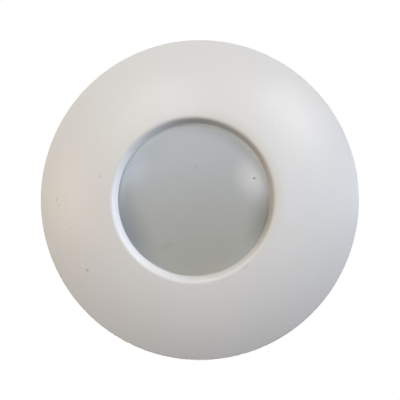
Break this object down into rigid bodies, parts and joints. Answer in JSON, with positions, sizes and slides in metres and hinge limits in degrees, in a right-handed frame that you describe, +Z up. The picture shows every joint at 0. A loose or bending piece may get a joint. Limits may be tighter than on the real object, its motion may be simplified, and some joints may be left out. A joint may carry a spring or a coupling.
{
  "type": "recessed soffit downlight",
  "caption": "Round recessed soffit downlight: domed white bezel, frosted glass, finned can with sprung clips, rear cable gland.",
  "frame": {"origin": "centre of the round hole in the soffit board, at the board's underside", "axes": "+Z up into the roof void (the light shines along -Z), +X towards the right-hand sprung arm"},
  "size_m": [0.11, 0.11, 0.1218],
  "materials": {
    "white_powder_coat": "satin powder coat, fine orange peel",
    "frosted_glass": "frosted behind, polished in front",
    "clear_silicone": "soft, slightly cloudy",
    "spring_steel": "bright, drawn",
    "black_rubber": "matt",
    "cast_aluminium": "as cast, lightly blasted",
    "zinc_steel": "bright zinc plate",
    "lamp_mirror": "aluminised glass",
    "lamp_glass": "clear, lightly stippled",
    "white_ceramic": "glazed steatite",
    "nickel_pins": "nickel plated",
    "contact_bronze": "rolled",
    "terminal_nylon": "moulded",
    "terminal_brass": "machined",
    "brown_pvc": "extruded",
    "blue_pvc": "extruded",
    "green_yellow_pvc": "extruded, striped",
    "tinned_copper": "tin plated",
    "black_nylon": "moulded, slightly glossy",
    "white_silicone": "soft sleeve"
  },
  "bodies": {
    "housing": {"housing": "cast_aluminium", "soffit_gasket": "black_rubber", "rear_cover": "cast_aluminium", "cover_gasket": "black_rubber", "cover_screws": "zinc_steel", "pivot_pin_right": "zinc_steel", "pivot_pin_left": "zinc_steel", "clip_spring_right": "spring_steel", "clip_spring_left": "spring_steel", "lamp_holder": "white_ceramic", "holder_contacts": "contact_bronze", "holder_screws": "zinc_steel", "wiring_bracket": "zinc_steel", "bracket_screws": "zinc_steel", "terminal_block": "terminal_nylon", "terminal_inserts": "terminal_brass", "terminal_screws": "terminal_brass", "block_screws": "zinc_steel", "live_lead": "brown_pvc", "neutral_lead": "blue_pvc", "earth_lead": "green_yellow_pvc", "earth_terminal": "tinned_copper", "earth_screw": "terminal_brass", "gland_body": "black_nylon", "gland_washer": "black_rubber", "gland_locknut": "black_nylon"},
    "bezel_ring_carrier": {"bezel_o_ring": "black_rubber"},
    "bezel": {"bezel": "white_powder_coat", "glass_seal": "clear_silicone", "front_glass": "frosted_glass", "glass_retaining_ring": "spring_steel"},
    "clip_arm_right": {"clip_arm_right": "zinc_steel", "arm_sleeve_right": "white_silicone"},
    "clip_arm_left": {"clip_arm_left": "zinc_steel", "arm_sleeve_left": "white_silicone"},
    "lamp": {"lamp_reflector": "lamp_mirror", "lamp_front_lens": "lamp_glass", "lamp_capsule": "lamp_glass", "lamp_base": "white_ceramic", "lamp_pins": "nickel_pins"},
    "gland_seal": {"gland_seal": "black_rubber", "gland_clamp_ring": "terminal_nylon"},
    "gland_nut": {"gland_nut": "black_nylon"}
  },
  "joints": [
    {"name": "bezel_drop", "type": "slide", "parent": "housing", "child": "bezel_ring_carrier", "axis": [0, 0, -1], "range_m": [0, 0.00602]},
    {"name": "bezel_turn", "type": "hinge", "parent": "bezel_ring_carrier", "child": "bezel", "pos_m": [0, 0, 0], "axis": [0, 0, -1], "range_deg": [0, 540]},
    {"name": "arm_swing_right", "type": "hinge", "parent": "housing", "child": "clip_arm_right", "pos_m": [0.0337, 0, 0.013], "axis": [0, -1, 0], "range_deg": [0, 112], "stiffness_Nm_per_rad": 0.03, "springref_deg": -34.38, "deforming": ["clip_spring_right"]},
    {"name": "arm_swing_left", "type": "hinge", "parent": "housing", "child": "clip_arm_left", "pos_m": [-0.0337, 0, 0.013], "axis": [0, 1, 0], "range_deg": [0, 112], "stiffness_Nm_per_rad": 0.03, "springref_deg": -34.38, "deforming": ["clip_spring_left"]},
    {"name": "lamp_turn", "type": "hinge", "parent": "housing", "child": "lamp", "pos_m": [0, 0, 0.04796], "axis": [0, 0, -1], "range_deg": [0, 25]},
    {"name": "gland_lift", "type": "slide", "parent": "housing", "child": "gland_seal", "axis": [0, 0, 1], "range_m": [0, 0.00301]},
    {"name": "gland_turn", "type": "hinge", "parent": "gland_seal", "child": "gland_nut", "pos_m": [0, 0, 0.1], "axis": [0, 0, 1], "range_deg": [0, 720]}
  ],
  "couplings": [
    {"joint": "bezel_drop", "follows": "bezel_turn", "m_per_rad": 0.00063662},
    {"joint": "gland_lift", "follows": "gland_turn", "m_per_rad": 0.00023873}
  ]
}
